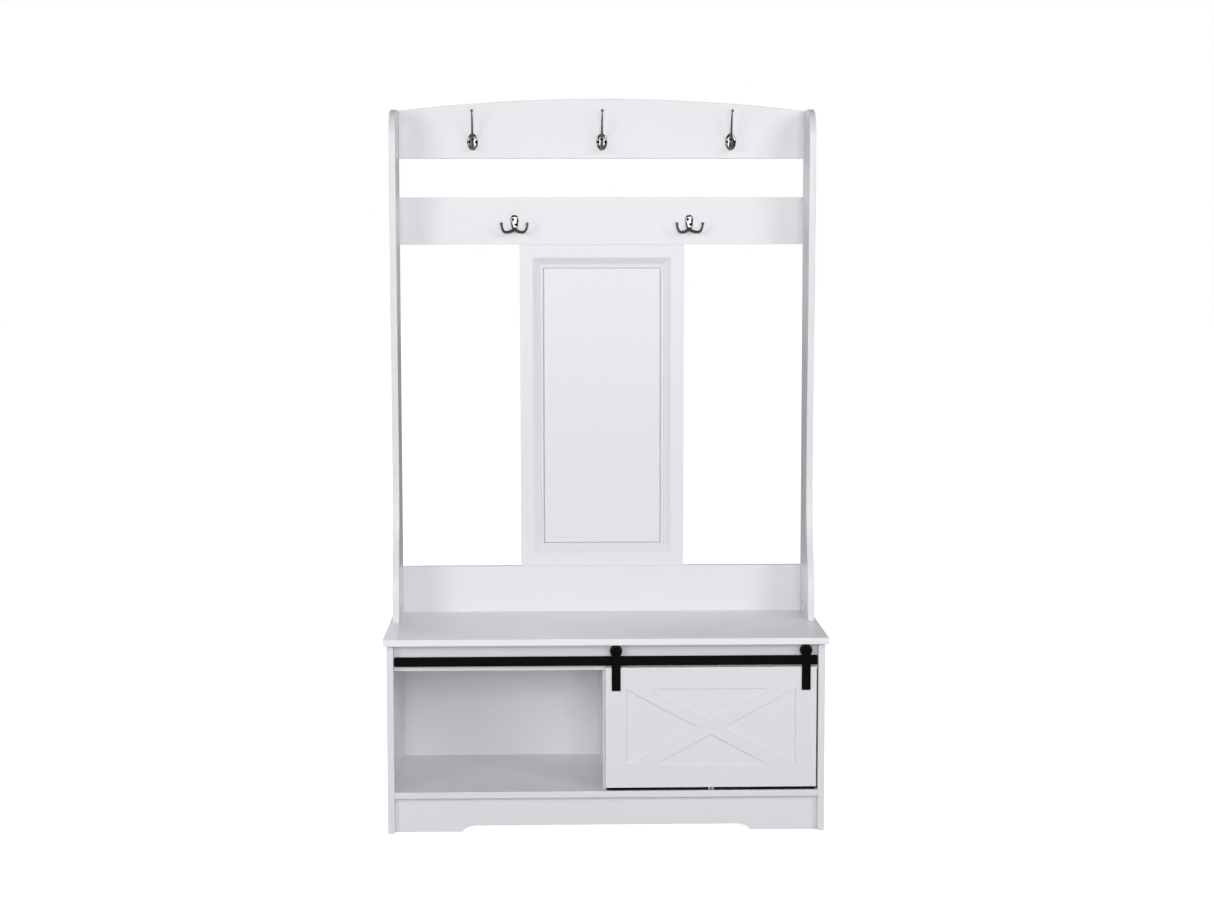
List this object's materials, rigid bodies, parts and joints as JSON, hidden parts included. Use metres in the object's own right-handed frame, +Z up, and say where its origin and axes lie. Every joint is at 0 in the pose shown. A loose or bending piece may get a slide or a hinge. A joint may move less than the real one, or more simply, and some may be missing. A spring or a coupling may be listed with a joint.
{
  "type": "hall tree",
  "caption": "White hall tree: a bench cabinet with a sliding barn door, and a tall open back that carries coat hooks.",
  "frame": {"origin": "on the floor, in the middle of the whole footprint", "axes": "+Z up, -Y towards the front, +X to the right seen from the front"},
  "size_m": [1, 0.39, 1.665],
  "materials": {
    "white_board": "white satin laminate on medium density fibreboard",
    "white_door": "white satin foil over routed fibreboard",
    "back_board": "white paper face on 3 mm hardboard",
    "beech": "fluted beech",
    "zinc": "bright zinc plate",
    "nickel": "polished nickel plate",
    "nickel_screw": "dark nickel plate",
    "clear_plastic": "milky clear plastic",
    "black_roller": "black nylon",
    "black_steel": "black powder coat"
  },
  "bodies": {
    "frame": {"apron_rail": "white_board", "bench_top": "white_board", "bottom_shelf": "white_board", "cabinet_back": "back_board", "cabinet_side_left": "white_board", "cabinet_side_right": "white_board", "cam_bolts": "zinc", "cam_locks": "zinc", "centre_panel": "white_board", "coat_hook_centre": "nickel", "coat_hook_left": "nickel", "coat_hook_right": "nickel", "crest_rail": "white_board", "divider": "white_board", "divider_screws": "zinc", "door_track": "black_steel", "double_hook_left": "nickel", "double_hook_right": "nickel", "header": "white_board", "hook_rail": "white_board", "hook_screws": "nickel_screw", "panel_nails": "zinc", "rear_rail": "white_board", "skirt_board": "white_board", "track_bolts": "black_steel", "track_spacers": "black_steel", "upper_side_left": "white_board", "upper_side_right": "white_board", "wood_dowels": "beech"},
    "door": {"door_panel": "white_door", "door_glide": "clear_plastic", "hanger_strap_left": "black_steel", "hanger_strap_right": "black_steel", "strap_screws": "black_steel", "axle_bolt_left": "black_steel", "axle_bolt_right": "black_steel", "axle_nut_left": "black_steel", "axle_nut_right": "black_steel"},
    "roller_left": {"roller_left": "black_roller"},
    "roller_right": {"roller_right": "black_roller"}
  },
  "joints": [
    {"name": "door_slide", "type": "slide", "parent": "frame", "child": "door", "axis": [1, 0, 0], "range_m": [-0.472, 0]},
    {"name": "roller_left_spin", "type": "hinge", "parent": "door", "child": "roller_left", "pos_m": [0.022, -0.171, 0.4138], "axis": [0, 1, 0], "continuous": true},
    {"name": "roller_right_spin", "type": "hinge", "parent": "door", "child": "roller_right", "pos_m": [0.4505, -0.171, 0.4138], "axis": [0, 1, 0], "continuous": true}
  ],
  "couplings": [
    {"joint": "roller_left_spin", "follows": "door_slide", "rad_per_m": 90.909},
    {"joint": "roller_right_spin", "follows": "door_slide", "rad_per_m": 90.909}
  ]
}
